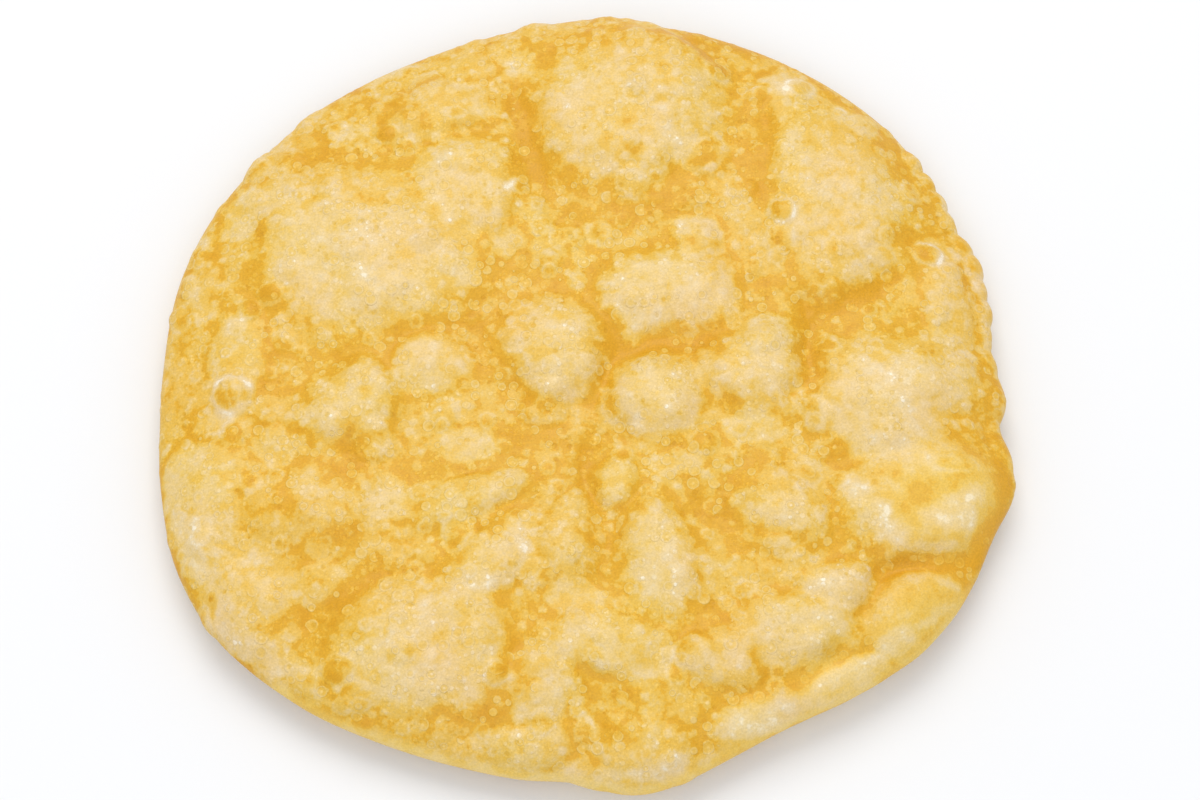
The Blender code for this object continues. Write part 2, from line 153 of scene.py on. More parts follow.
# Sunken lines between cushions: the points that the line runs through, its depth and half width.
Crease = namedtuple("Crease", "points depth half_width")
TOP_CREASES = (
    Crease(((57, -29), (52, -29.5), (47, -31), (43.5, -32.5)), 1.0, 1.7),
    Crease(((43.5, -32.5), (42, -36), (40, -40), (36, -44)), 0.8, 1.8),
    Crease(((-10, -3), (-5, -6.5), (1, -5.5), (4.5, 1), (9, 3), (18, 4)), 0.5, 2.0),
    Crease(((34, 8), (37, 10), (41, 12), (46, 14.5)), 0.9, 2.4),
    Crease(((34, 11), (34.5, 5), (34, -3)), 0.9, 1.9),
    Crease(((1, -11), (0.5, -20), (2, -26), (2, -33.5)), 0.6, 2.0),
    Crease(((-11, 47), (-9, 38), (-4, 27), (-2, 23)), 0.6, 2.6),
    Crease(((28, 31), (29, 38), (28, 46)), 0.7, 1.9),
    Crease(((-30, -32), (-35, -36.5), (-40, -39), (-46, -41)), 0.4, 2.6),
    Crease(((20, -22), (24, -25.5), (32, -27.5)), 0.5, 1.8),
)

# Round blisters that stand out singly: middle, radius and height.
Blister = namedtuple("Blister", "x y radius height")
TOP_BLISTERS = (
    Blister(30.5, 26, 2.5, 0.8),
    Blister(-53, -4, 3.6, 1.0),
    Blister(-52.5, -10, 2.4, 0.6),
    Blister(53, 20, 2.6, 0.8),
    Blister(-31, 40, 2.2, 0.6),
    Blister(-28, 37.5, 2.0, 0.6),
    Blister(-48, 12.5, 2.3, 0.6),
    Blister(-51, 10, 2.0, 0.6),
    Blister(18, -12, 2.4, 0.6),
    Blister(-6, -54.5, 2.3, 0.6),
    Blister(21, 51, 2.5, 0.6),
    Blister(34, 49, 2.8, 0.6),
    Blister(-35.5, -46.5, 2.9, 0.6),
    Blister(-12.5, -47.5, 2.3, 0.6),
)

# The skin stays smooth inside these circles, which blisters and bubbles keep out of.
SMOOTH_PLACES = ((51, -20, 11), (50, -40, 11), (38, -50, 8), (26, -57, 6))

# Blisters scattered over both faces, as in the solid, and the small bubbles that only this skin has:
# how many, the radii between which they lie, and height per radius.
Scatter = namedtuple("Scatter", "count smallest largest height")
TOP_SCATTER = Scatter(170, 1.9, 4.2, 0.17)
UNDER_SCATTER = Scatter(120, 1.9, 4.2, 0.17)
TOP_BUBBLES = Scatter(1500, 0.65, 1.7, 0.15)
UNDER_BUBBLES = Scatter(900, 0.8, 1.8, 0.25)
# The range of steepness within a kind, and how near two may stand, as a share of both radii.
SCATTER_STEEPNESS = (0.7, 1.3)
SCATTER_OVERLAP = 0.8
TOP_SEED, UNDER_SEED = 17, 18
TOP_BUBBLE_SEED, UNDER_BUBBLE_SEED = 19, 20

# A row of beads stands along part of the rim: first and last direction, and how many. The range of
# their sizes is beside the radius and height, and the inset is their distance inside the rim.
BEAD_FROM, BEAD_TO, BEAD_COUNT = 3, 36, 10
BEAD_RADIUS = 2.4
BEAD_HEIGHT = 0.65
BEAD_SIZES = (0.8, 1.2)
BEAD_INSET = 1.2

# The folded skin at the far edge stands over the rim beside it: edge line, rise and spread.
FOLD_START = (9.5, 64.0)
FOLD_END = (21.0, 51.5)
FOLD_RISE = 2.4
FOLD_SHARPNESS = 0.6
FOLD_SPREAD = 13.0

# Cushions on the underside: the wide one that the bread stands on, and smaller ones all around it.
FOOT_CUSHION = Cushion(0, 0, 25, 22, 0, 2.4, 0.5)
UNDER_CUSHION_COUNT = 30
UNDER_CUSHION_SIZES = (5.0, 11.0)
UNDER_CUSHION_WIDTHS = (0.6, 1.0)
UNDER_CUSHION_HEIGHTS = (0.9, 2.2)
UNDER_CUSHION_OVERLAP = 0.75
UNDER_PALE = 0.55

# The skin's own slow waver, which keeps cushions from being true ellipses: wavelength and reach.
WARPS = ((15.0, 2.2), (6.0, 0.6))
UNEVEN_LENGTH = 9.0
UNEVEN_HEIGHT = 0.5

# Which layer of the noise each face is drawn from, and how far past it the things on the face are.
TOP_LAYER, UNDER_LAYER = 0, 100
UNEVEN_LAYER = 40
RAGGED_LAYER = 200
MOTTLE_LAYER = 270
# The layers of the strokes and rings, which only the top has.
STROKE_LAYER, RING_LAYER = 400, 500
# In a waver, how far apart the layers of its wavelengths are, and those of its two directions.
WAVELENGTH_STEP, DIRECTION_STEP = 10, 5

# The skin's tone runs from 0, deepest orange, to 1, palest cream. The ground between cushions is
# yellow, a deeper channel runs around each cushion, partly the skin's own colour and partly painted
# shade in the valley, and the near part of a cushion is its palest, which is painted light from the near
# side over the cushion's own paleness.
GROUND_TONE = 0.36
CHANNEL_DEEPENING_AND_SHADE = -0.15
CHANNEL_EDGES = (0.0, 0.12, 0.5)
BODY_TONE = 0.45
BODY_EDGE = (0.25, 0.55)
# The creases' deeper tone is partly the skin's own colour and partly painted shade in the crease.
CREASE_DEEPENING_AND_SHADE = -0.15
# The palest part, painted light on the cushion's near side: its share of the cushion's paleness, its
# place and size on it, and how it ends.
PALE_SHARE = 0.6
NEAR_LIGHT_SHIFT = 0.28
PALE_SIZE = 0.9
PALE_FALL = 3.4
# What makes these edges ragged, and the mottling of all the skin: wavelength and reach.
RAGGED_EDGES = ((3.2, 1.1), (1.5, 0.5))
MOTTLES = ((14.0, 0.12), (5.0, 0.18), (2.2, 0.2))

# Scattered blisters and bubbles are pale discs, and those over a radius have a deeper middle. The
# steeper they are beside their kind, between two limits, the paler they are.
BLISTER_TONE = 0.4
BUBBLE_TONE = 0.42
FLATTEST_PALE, STEEPEST_PALE = 0.4, 1.3
DISC_EDGE = (1.0, 0.8)
MIDDLE_FROM_RADIUS = 1.0
MIDDLE_DEPTH = 0.8
MIDDLE_EDGE = (0.75, 0.4)

# A single blister has a pale ring, a painted reflection on its dome's edge, with a deeper middle, both
# at their full from some height on. The ring's place and width are shares of the blister's radius, and
# it wavers: wavelength and reach.
RING_REFLECTION_TONE = 0.46
RING_PLACE, RING_WIDTH = 0.78, 0.16
RING_MIDDLE_TONE = -0.2
RING_FULL_HEIGHT = 0.8
RING_EDGES = ((2.5, 0.45),)

# The colour at each tone.
TONE_COLOURS = (
    (0.0, (0.665, 0.330, 0.011)),
    (0.2, (0.718, 0.400, 0.029)),
    (0.4, (0.741, 0.461, 0.074)),
    (0.6, (0.750, 0.511, 0.148)),
    (0.8, (0.762, 0.560, 0.258)),
    (0.92, (0.767, 0.600, 0.335)),
    (1.0, (0.850, 0.740, 0.540)),
)

# Fine noise that makes each change of tone ragged: size and reach.
TONE_GRAINS = ((0.7, 0.35), (1.7, 0.4))
FINE_DETAIL = 3.0
# What is left of the tone's range, and the tones across which it rises faster than elsewhere, so that
# patches end in clear edges.
TONE_SCALE, TONE_SHIFT = 0.92, -0.08
TONE_EDGES = ((0.3, 0.38), (0.5, 0.58))
TONE_EDGE_RISE = 0.08
# A thin deeper line runs round pale patches, between these tones.
OUTLINE_TONE = -0.07
OUTLINE_EDGES = ((0.2, 0.27), (0.36, 0.29))

# Specks too fine to be shapes, each kind in patches: how far apart, a speck's edge from its middle, in
# how many places one may be, and the patches' size and edge.
Specks = namedtuple("Specks", "spacing edge share patch_size patch_edge")
PEARLS = Specks(1.8, (0.46, 0.40), 0.6, 5.0, (0.40, 0.50))
DOTS = Specks(0.95, (0.38, 0.26), 0.6, 7.0, (0.44, 0.56))
# Sparkles are fine pale specks that also carry painted highlights.
SPARKLES = Specks(0.5, (0.5, 0.25), 0.7, 4.0, (0.48, 0.62))
PITS = Specks(1.1, (0.4, 0.2), 0.5, 6.0, (0.55, 0.42))
# The range of sizes within a kind, and the part of its share of the places that shows in full.
SPECK_SMALLEST, SPECK_LARGEST = 0.55, 1.45
SPECK_FULL_PART = 0.6
# Each pearl has a hollow in its middle, and a glint in the middle of the hollow.
HOLLOW_EDGE = (0.36, 0.26)
GLINT_EDGE = (0.16, 0.06)
# Pearls bring deeper skin this far towards this tone.
PEARL_TONE = 0.78
PEARL_SHARE = 0.6

# What each kind of mark adds to the skin's tone, to its brightness and to its finest relief. The
# brightness that sparkles, glints and dots add is painted highlight, and what pits take away is painted
# shade.
TONE_CHANGES = {"hollows": -0.16, "glints": 0.2, "dots": 0.15, "pits": -0.16, "sparkles": 0.05}
SHADE_CHANGES = {"sparkles": 0.09, "glints": 0.08, "dots": 0.04, "pits": -0.05}
RELIEF_CHANGES = {"hollows": -0.6, "dots": 0.7, "sparkles": 0.3, "pits": -0.5, "grain": 0.5}

# Smooth skin is clearer and yellower, and along the near rim this brighter colour is also painted
# light: its colour, and how much of it shows.
CLEAR_AND_LIT_COLOUR = (0.91, 0.645, 0.155, 1.0)
CLEAR_SHARE = 0.42
CLEAR_FALL = 2.0
# How much the skin's green changes from its orange zones to its lemon-yellow ones, and their size.
LEMON_RANGE = 0.09
LEMON_SIZE = 14.0
# Fine changes in the skin's brightness and in its gloss, and the fine relief.
SHADE_SIZE = 0.3
SHADE_LEAST, SHADE_RANGE = 0.775, 0.44
ROUGHNESS_SIZE = 2.2
ROUGHNESS_LEAST, ROUGHNESS_RANGE = 0.27, 0.25
SHINE = 0.3
RELIEF_GRAIN = 0.7
RELIEF_DEPTH = 0.15
RELIEF_STRENGTH = 0.5

# Pale patches of skin without any height of their own.
PALE_PATCHES = (
    Cushion(-12, 55, 3.5, 2.0, 0, 0, 0.62),
    Cushion(-31, 53, 6, 1.8, 28, 0, 0.6),
    Cushion(-53, 27, 4, 4, 0, 0, 0.6),
    Cushion(-59, 14, 3, 5, 0, 0, 0.55),
    Cushion(-12, 21, 3.5, 2.5, 0, 0, 0.66),
    Cushion(-36, 41, 4, 1.8, 10, 0, 0.62),
    Cushion(33, 50, 4, 3.5, 0, 0, 0.66),
    Cushion(18, 23.5, 3.5, 2.2, 0, 0, 0.6),
    Cushion(28, 6.5, 4, 2.5, 0, 0, 0.7),
    Cushion(55, 21, 3.5, 2.5, 0, 0, 0.7),
    Cushion(57, 31, 2, 3, 0, 0, 0.5),
    Cushion(-60, -16, 3.5, 5, 0, 0, 0.66),
    Cushion(-46, -12, 4, 2.5, 0, 0, 0.6),
    Cushion(-29, -21, 4, 3, 0, 0, 0.55),
    Cushion(-17, -12, 5, 2.5, 0, 0, 0.62),
    Cushion(-56, -8, 3.5, 2, 0, 0, 0.7),
    Cushion(-50, -30, 7, 4, -10, 0, 0.6),
    Cushion(-24, -35, 6, 3.5, 0, 0, 0.64),
    Cushion(-45, -45, 5, 2.5, -35, 0, 0.62),
    Cushion(-14, -57, 3, 2.4, 0, 0, 0.6),
    Cushion(14, -15.5, 3.5, 2.5, 0, 0, 0.6),
    Cushion(26, -9, 4.5, 3.5, 0, 0, 0.66),
    Cushion(20, -32, 3.5, 4.5, 20, 0, 0.62),
    Cushion(10, -45, 3.5, 4, 0, 0, 0.6),
    Cushion(-1, -36, 4, 3, 0, 0, 0.6),
)

# Strokes of deeper or paler skin: the points that each runs through, its change of tone, half width.
# The deeper ones in valleys and along creases are partly the skin's own colour and partly painted shade.
Stroke = namedtuple("Stroke", "points tone half_width")
TONE_STROKES = (
    # Far half, deeper
    Stroke(((-11, 47), (-9.5, 40), (-7, 33)), -0.2, 1.8),
    Stroke(((-30, 46), (-27, 43), (-26, 41)), -0.22, 1.6),
    Stroke(((-27, 29), (-23, 25)), -0.16, 1.3),
    Stroke(((-47, 36), (-41, 37), (-34, 35)), -0.12, 1.7),
    Stroke(((-21, 7), (-18, 8), (-15, 6)), -0.22, 1.4),
    Stroke(((-46, 3), (-41, 2), (-34, 3)), -0.16, 1.7),
    Stroke(((-14, -1), (-10, -4), (-6, -6)), -0.2, 1.7),
    Stroke(((-14, 18), (-6, 15), (1, 9)), -0.1, 1.7),
    Stroke(((3.5, 9), (5, 2.5), (10, 3.2), (19, 4.8)), -0.25, 1.2),
    Stroke(((34, 10), (34.5, 4), (34, -4)), -0.22, 1.1),
    Stroke(((34, 9), (40, 11.5), (46, 14)), -0.25, 1.5),
    Stroke(((28, 46), (29, 39), (27, 31)), -0.18, 1.8),
    Stroke(((20, 36), (24, 34)), -0.15, 1.6),
    Stroke(((-2, 26), (7, 25), (12, 28), (19, 29)), -0.13, 1.9),
    Stroke(((25, 17), (28, 13)), -0.16, 1.5),
    Stroke(((46, 20), (49, 24)), -0.18, 1.4),
    Stroke(((49, 35), (54, 28), (57, 22)), -0.12, 2.2),
    Stroke(((12, 62), (18, 59.5), (26, 56.5)), -0.3, 1.8),
    # Near half, deeper
    Stroke(((-35, -11), (-34, -14), (-36, -17)), -0.36, 2.3),
    Stroke(((-48, -9), (-42, -10)), -0.16, 1.2),
    Stroke(((-44, -18), (-45, -22), (-41, -25), (-34, -25.5)), -0.2, 1.1),
    Stroke(((-31, -31), (-36, -36), (-40, -38), (-47, -40)), -0.2, 1.7),
    Stroke(((-25, -4), (-23, -9), (-22, -15), (-27, -18)), -0.16, 1.5),
    Stroke(((-11, -9), (-9, -13), (-14, -16), (-21, -17)), -0.2, 1.4),
    Stroke(((-16, -23), (-13, -26)), -0.2, 1.4),
    Stroke(((-23, -52), (-17, -54), (-12, -53)), -0.22, 1.2),
    Stroke(((-10, -43), (-9, -50)), -0.18, 1.2),
    Stroke(((-3, -37), (-4, -42)), -0.16, 1.3),
    Stroke(((-42, -51.5), (-36, -52.5), (-30, -54)), -0.14, 1.2),
    Stroke(((-54.3, -35), (-54.6, -37.5)), -0.35, 0.7),
    Stroke(((1, -10), (0, -15), (2, -20), (1, -24), (2, -28)), -0.2, 1.3),
    Stroke(((-7, -9), (-3, -12), (0, -15)), -0.16, 1.7),
    Stroke(((16, -18), (17, -21), (18, -24)), -0.24, 1.4),
    Stroke(((20, -21), (24, -25.5), (28, -27), (33, -27)), -0.24, 1.1),
    Stroke(((37, -13), (40, -16)), -0.15, 1.3),
    Stroke(((0, -47), (2, -50), (7, -53), (5, -57)), -0.2, 2.4),
    Stroke(((20, -39), (24.5, -42.5), (26, -48)), -0.2, 0.9),
    Stroke(((21, -51), (26, -51)), -0.16, 1.2),
    # Along the fold under the bulge: a painted shadow line over the skin's own deeper colour.
    Stroke(
        ((56, -29), (51, -29.7), (47, -31), (43.5, -32), (42, -36), (40, -40), (36, -43.5)), -0.16, 1.1
    ),
    Stroke(((61.5, -9), (62.5, -17), (61, -23), (58, -29)), -0.25, 2.2),
    # Dimples in pale skin
    Stroke(((3, 37.5), (3.4, 37)), -0.3, 1.2),
    Stroke(((7.3, 36.6), (7.7, 36.2)), -0.3, 1.1),
    Stroke(((-4.5, 40), (-3, 37.5)), -0.18, 1.6),
    Stroke(((-37.5, 13), (-34, 11.5)), -0.16, 1.8),
    Stroke(((-24.2, -44.3), (-23.6, -44.7)), -0.3, 1.4),
    Stroke(((-33, -42.5), (-31, -43.5)), -0.16, 1.3),
    # Paler
    Stroke(((-54.5, -0.2), (-56, -2), (-56.4, -4), (-55.8, -6), (-54.3, -7.5)), 0.1, 1.0),
    Stroke(((-50.6, -6.5), (-50, -4.5), (-50.6, -2), (-52, -0.5)), 0.08, 1.0),
    Stroke(((-53, -1.8), (-52.2, -3.4), (-51.7, -5.4)), 0.3, 0.8),
    Stroke(((-54, -2.2), (-53.7, -4), (-53.2, -6)), 0.26, 0.35),
    # A painted glint.
    Stroke(((-12, 30), (-10.5, 31.5)), 0.4, 0.7),
    Stroke(((29, 51), (29.6, 49), (31, 47.5)), 0.36, 1.0),
    Stroke(((38, 47), (40.5, 45.5)), 0.32, 0.9),
    Stroke(((-12, 52.5), (-9, 51.5)), 0.3, 1.0),
    Stroke(((-9.5, -27), (-8, -29)), 0.28, 1.3),
    Stroke(((-18, -34), (-14, -34.5), (-11.5, -33.5)), 0.18, 1.2),
    # Painted highlights, in an M, on the near face of the bulge.
    Stroke(((40, -19.5), (43, -23.5), (45.2, -27.6)), 0.3, 2.0),
    Stroke(((44, -22.5), (45.5, -27.8)), 0.22, 1.2),
    Stroke(((50.5, -24.5), (53, -22.5), (57, -20)), 0.3, 1.7),
    Stroke(((53, -25), (57, -23.5)), 0.22, 1.4),
    Stroke(((48, -28.1), (52, -27.9), (56.5, -28.2)), 0.3, 0.8),
    Stroke(((56.8, -20.5), (57.2, -27.5)), 0.28, 0.7),
    Stroke(((46, -17.8), (51, -18.6), (55, -18.2)), -0.14, 1.4),
    Stroke(((47.5, -21.5), (49.5, -20.5)), -0.12, 1.6),
    # Painted highlight streaks on the bulge's top.
    Stroke(((52, -16.6), (57, -16.4)), 0.25, 0.45),
    Stroke(((51, -14.8), (56, -15.1)), 0.2, 0.4),
    Stroke(((45.5, -33), (50, -32.3), (55, -34)), 0.16, 0.7),
    Stroke(((43, -42.5), (47, -40), (51, -38.5)), 0.2, 0.7),
    Stroke(((34, -48.5), (40, -45), (48, -41)), 0.2, 0.6),
    Stroke(((36, -50), (42, -46.5), (49, -42.5)), -0.12, 0.6),
    # Paler bands along the near rim: painted light on that edge.
    Stroke(((20, -56.5), (30, -52), (40, -47), (47, -42)), 0.2, 2.4),
    Stroke(((-34, -55.5), (-22, -59), (-8, -62), (6, -63), (17, -59.5)), 0.26, 2.0),
    Stroke(((-59, -24), (-57, -31), (-52, -40), (-44, -48.5)), 0.18, 2.4),
)
# How the strokes waver: wavelength and reach. The higher the flatness, the clearer their sides.
STROKE_EDGES = ((3.0, 0.8), (1.2, 0.35))
STROKE_FLATNESS = 3

# The skin is smooth along the near rim, where its clearer, brighter colour is also painted light:
# first and last direction, and how wide.
SMOOTH_RIM_FROM, SMOOTH_RIM_TO = 228, 330
SMOOTH_RIM_WIDTH = 2.6
# How free of bubbles smooth places and the smooth rim are, and how they end, in shares of the radius.
SMOOTHEST_PLACE, SMOOTHEST_RIM = 0.7, 1.0
SMOOTH_EDGE = (0.45, 1.2)

# The camera stands over the near edge and looks down steeply.
CAMERA_ELEVATION = 68.0
CAMERA_DISTANCE = 433.2
CAMERA_TARGET = (2.1, -2.2, 5.0)
CAMERA_LENS = 85.0
CAMERA_CLIP = 10.0

# Square studio lights, the white sky and the white floor. An azimuth of 0 is the near side, and 180 is
# beyond the far edge.
Light = namedtuple("Light", "name azimuth elevation distance size power colour")
LIGHTS = (
    Light("far_key", 184, 58, 1200, 800, 6.2, (1.06, 1.0, 0.9)),
    Light("front_fill", -6, 56, 1200, 1000, 3.5, (0.96, 0.99, 1.04)),
)
SKY_COLOUR = (0.95, 0.985, 1.05, 1.0)
SKY_STRENGTH = 0.70
FLOOR_SIZE = 4000.0
FLOOR_COLOUR = (0.85, 0.85, 0.85, 1.0)
FLOOR_ROUGHNESS = 0.9


def rim_radius(angles):
    """Distance of the rim from its centre, for directions in radians."""
    degrees = np.degrees(angles)
    reach = np.zeros_like(degrees)
    for lobe in RIM_LOBES:
        off = (degrees - lobe.angle + 180) % 360 - 180
        reach += lobe.reach * np.exp(-((off / lobe.half_width) ** 2))
    return RIM_RADIUS + reach


def rim_height(angles):
    """Height of the rim, for directions in radians."""
    return RIM_HEIGHT + sum(height * np.sin(waves * angles + start) for waves, height, start in RIM_WAVES)


def crown_share(share):
    """How high the top skin is at a share of the radius: 1 in the middle, 0 at the rim."""
    return (1 - share**CROWN_FLATNESS) ** CROWN_ROUNDNESS


def under_share(share):
    """How high the underside is at a share of the radius: 0 over the foot, 1 at the rim."""
    out = np.maximum(share - FOOT_SHARE, 0) / (1 - FOOT_SHARE)
    return 1 - np.maximum(1 - out**UNDER_FLATNESS, 0) ** UNDER_ROUNDNESS


class Section:
    """The bread cut through its middle, followed along the skin from the crown to the underside."""

    SAMPLES = 600
    NORMAL_STEP = 0.05

    def __init__(self):
        shares = np.sin(np.linspace(0, math.pi / 2, self.SAMPLES))
        top_heights = RIM_HEIGHT + (CROWN_HEIGHT - RIM_HEIGHT) * crown_share(shares)
        under_heights = FOOT_GAP + (RIM_HEIGHT - FOOT_GAP) * under_share(shares)
        x = RIM_RADIUS * np.concatenate([shares, shares[-2::-1]])
        z = np.concatenate([top_heights, under_heights[-2::-1]])
        steps = np.hypot(np.diff(x), np.diff(z))
        self.distance = np.concatenate([[0.0], np.cumsum(steps)])
        self.share = np.concatenate([shares, shares[-2::-1]])
        self.level = np.concatenate([crown_share(shares), under_share(shares)[-2::-1]])
        self.rim = self.distance[self.SAMPLES - 1]
        self.end = self.distance[-1]

    def share_at(self, distance):
        return np.interp(distance, self.distance, self.share)

    def points(self, distance, angles):
        """Places on the plain skin, before any cushion or blister."""
        radius = rim_radius(angles) * self.share_at(distance)
        level = np.interp(distance, self.distance, self.level)
        rim = rim_height(angles)
        top = rim + (CROWN_HEIGHT - rim) * level
        under = FOOT_GAP + (rim - FOOT_GAP) * level
        height = np.where(distance <= self.rim, top, under)
        return np.stack([radius * np.cos(angles), radius * np.sin(angles), height], axis=1)

    def normals(self, distance, angles):
        """Outward directions of the plain skin."""
        small = self.NORMAL_STEP
        along = self.points(np.minimum(distance + small, self.end), angles)
        along -= self.points(np.maximum(distance - small, 0), angles)
        around = self.points(distance, angles + small) - self.points(distance, angles - small)
        outward = np.cross(along, around)
        length = np.linalg.norm(outward, axis=1)
        pole = (distance < small) | (distance > self.end - small)
        outward[pole] = np.where(distance[pole] < small, 1.0, -1.0)[:, None] * np.array([0, 0, 1.0])
        length[pole] = 1.0
        return outward / length[:, None]

    def on_skin(self, x, y):
        """A place seen from straight above, as a place on the top skin laid flat."""
        angle = math.atan2(y, x)
        share = math.hypot(x, y) / float(rim_radius(np.array([angle]))[0])
        half = self.SAMPLES
        distance = np.interp(min(share, 1.0), self.share[:half], self.distance[:half])
        return distance * math.cos(angle), distance * math.sin(angle)


def smooth_step(low, high, value):
    share = np.clip((value - low) / (high - low), 0, 1)
    return share * share * (3 - 2 * share)


def noise_at(u, v, wavelength, layer):
    """Smooth noise from about -1 to 1 at each place."""
    return np.array([noise.noise(Vector((a, b, layer))) for a, b in zip(u / wavelength, v / wavelength)])


def wavered(u, v, layer, warps=WARPS):
    """The places moved about by the skin's slow waver."""
    for step, (wavelength, reach) in enumerate(warps):
        first = layer + WAVELENGTH_STEP * step
        u = u + reach * noise_at(u, v, wavelength, first)
        v = v + reach * noise_at(u, v, wavelength, first + DIRECTION_STEP)
    return u, v


def cushion_share(u, v, cushion, flatness=CUSHION_FLATNESS):
    """1 on a cushion's flat top, 0 well outside it."""
    turn = math.radians(cushion.turn)
    du, dv = u - cushion.x, v - cushion.y
    along = (du * math.cos(turn) + dv * math.sin(turn)) / cushion.length
    across = (dv * math.cos(turn) - du * math.sin(turn)) / cushion.width
    far = along**2 + across**2
    return np.exp(-(far**flatness))


def on_wavered_skin(section, x, y):
    """A place seen from straight above, as a place on the top skin after its waver."""
    u, v = section.on_skin(x, y)
    moved_u, moved_v = wavered(np.array([u]), np.array([v]), TOP_LAYER)
    return float(moved_u[0]), float(moved_v[0])


def moved(thing, place):
    """The same cushion or blister at another place."""
    return thing._replace(x=place[0], y=place[1])


def cushion_relief(u, v, cushions):
    """Height of the highest cushion at each place, with soft valleys where cushions meet."""
    total = sum((c.height * cushion_share(u, v, c)) ** VALLEY_SHARPNESS for c in cushions)
    return total ** (1 / VALLEY_SHARPNESS)


def blister_relief(u, v, blisters):
    """Height of the highest blister at each place."""
    high = np.zeros_like(u)
    for b in blisters:
        near = np.flatnonzero((abs(u - b.x) < b.radius) & (abs(v - b.y) < b.radius))
        far = ((u[near] - b.x) ** 2 + (v[near] - b.y) ** 2) / b.radius**2
        high[near] = np.maximum(high[near], b.height * np.maximum(1 - far, 0))
    return high


def distance_to_line(u, v, points):
    """Distance of each place from a line through the points."""
    nearest = np.full_like(u, np.inf)
    for (ax, ay), (bx, by) in zip(points, points[1:]):
        dx, dy = bx - ax, by - ay
        share = np.clip(((u - ax) * dx + (v - ay) * dy) / (dx * dx + dy * dy), 0, 1)
        nearest = np.minimum(nearest, np.hypot(u - ax - share * dx, v - ay - share * dy))
    return nearest


def crease_relief(u, v, creases):
    """How far the creases sink the skin at each place, as heights below 0."""
    low = np.zeros_like(u)
    for crease in creases:
        far = distance_to_line(u, v, crease.points) / crease.half_width
        low = np.minimum(low, -crease.depth * np.exp(-(far**2)))
    return low


def fold_relief(u, v):
    """The folded skin at the far edge: it rises to the fold's line and drops sharply past it."""
    (ax, ay), (bx, by) = FOLD_START, FOLD_END
    length = math.hypot(bx - ax, by - ay)
    along_x, along_y = (bx - ax) / length, (by - ay) / length
    side = (u - ax) * along_y - (v - ay) * along_x
    past = (u - ax) * along_x + (v - ay) * along_y
    edge = 0.5 + 0.5 * np.tanh(side / (2 * FOLD_SHARPNESS))
    spread = np.exp(-((np.maximum(side, 0) / FOLD_SPREAD) ** 2))
    fade = np.exp(-((np.maximum(past, 0) / length) ** 4))
    return FOLD_RISE * edge * spread * fade


def rim_fade(inside):
    """Share of the relief's height that is left at a distance inside the rim."""
    return RIM_SHARE + (1 - RIM_SHARE) * smooth_step(0, RIM_FADE, inside)


def scattered(rng, scatter, reach, smooth_places, taken):
    """Seeded blisters inside the reach: most are small, and they overlap only a little."""
    found = []
    while len(found) < scatter.count:
        radius = scatter.smallest * (scatter.largest / scatter.smallest) ** (rng.random() ** 2)
        distance, angle = reach * math.sqrt(rng.random()), 2 * math.pi * rng.random()
        x, y = distance * math.cos(angle), distance * math.sin(angle)
        smooth = any(math.hypot(x - px, y - py) < r for px, py, r in smooth_places)
        others = [*taken, *found]
        crowded = any(math.hypot(x - b.x, y - b.y) < SCATTER_OVERLAP * (radius + b.radius) for b in others)
        height = scatter.height * radius * rng.uniform(*SCATTER_STEEPNESS)
        if not smooth and not crowded:
            found.append(Blister(x, y, radius, height))
    return found


def rim_beads(section, rng):
    """The row of beads along the right-hand rim, as places on the top skin laid flat."""
    beads = []
    for step in range(BEAD_COUNT):
        angle = math.radians(BEAD_FROM + (BEAD_TO - BEAD_FROM) * step / (BEAD_COUNT - 1))
        size = rng.uniform(*BEAD_SIZES)
        distance = section.rim - BEAD_INSET
        place = (distance * math.cos(angle), distance * math.sin(angle))
        beads.append(Blister(*place, BEAD_RADIUS * size, BEAD_HEIGHT * size))
    return beads


def under_cushions(section, rng):
    """The cushion that the bread stands on and the smaller ones scattered around it."""
    cushions = [FOOT_CUSHION]
    reach = section.end - section.rim
    while len(cushions) <= UNDER_CUSHION_COUNT:
        length = rng.uniform(*UNDER_CUSHION_SIZES)
        distance, angle = reach * math.sqrt(rng.random()), 2 * math.pi * rng.random()
        x, y = distance * math.cos(angle), distance * math.sin(angle)
        crowded = any(
            math.hypot(x - c.x, y - c.y) < UNDER_CUSHION_OVERLAP * (length + c.length) for c in cushions
        )
        if not crowded:
            width, turn = length * rng.uniform(*UNDER_CUSHION_WIDTHS), rng.uniform(0, 180)
            height = rng.uniform(*UNDER_CUSHION_HEIGHTS)
            cushions.append(Cushion(x, y, length, width, turn, height, UNDER_PALE))
    return cushions


def pale_share(u, v, blisters, scatter):
    """How pale blisters make the skin, from 0 to 1: discs, and rings where a blister is large."""
    share = np.zeros_like(u)
    for b in blisters:
        steep = smooth_step(FLATTEST_PALE, STEEPEST_PALE, b.height / (b.radius * scatter.height))
        middle = MIDDLE_DEPTH if b.radius > MIDDLE_FROM_RADIUS else 0.0
        near = np.flatnonzero((abs(u - b.x) < b.radius) & (abs(v - b.y) < b.radius))
        far = np.hypot(u[near] - b.x, v[near] - b.y) / b.radius
        disc = smooth_step(*DISC_EDGE, far) - middle * smooth_step(*MIDDLE_EDGE, far)
        share[near] = np.maximum(share[near], steep * disc)
    return share


def ring_tone(u, v, blisters):
    """The pale ring around each blister that stands out singly, a painted reflection, and its deeper
    middle.
    """
    u, v = wavered(u, v, RING_LAYER, RING_EDGES)
    tone = np.zeros_like(u)
    for b in blisters:
        far = np.hypot(u - b.x, v - b.y) / b.radius
        ring = RING_REFLECTION_TONE * np.exp(-(((far - RING_PLACE) / RING_WIDTH) ** 2))
        middle = RING_MIDDLE_TONE * np.exp(-((far / RING_PLACE) ** 4))
        tone += (ring + middle) * min(1, b.height / RING_FULL_HEIGHT) ** 2
    return tone


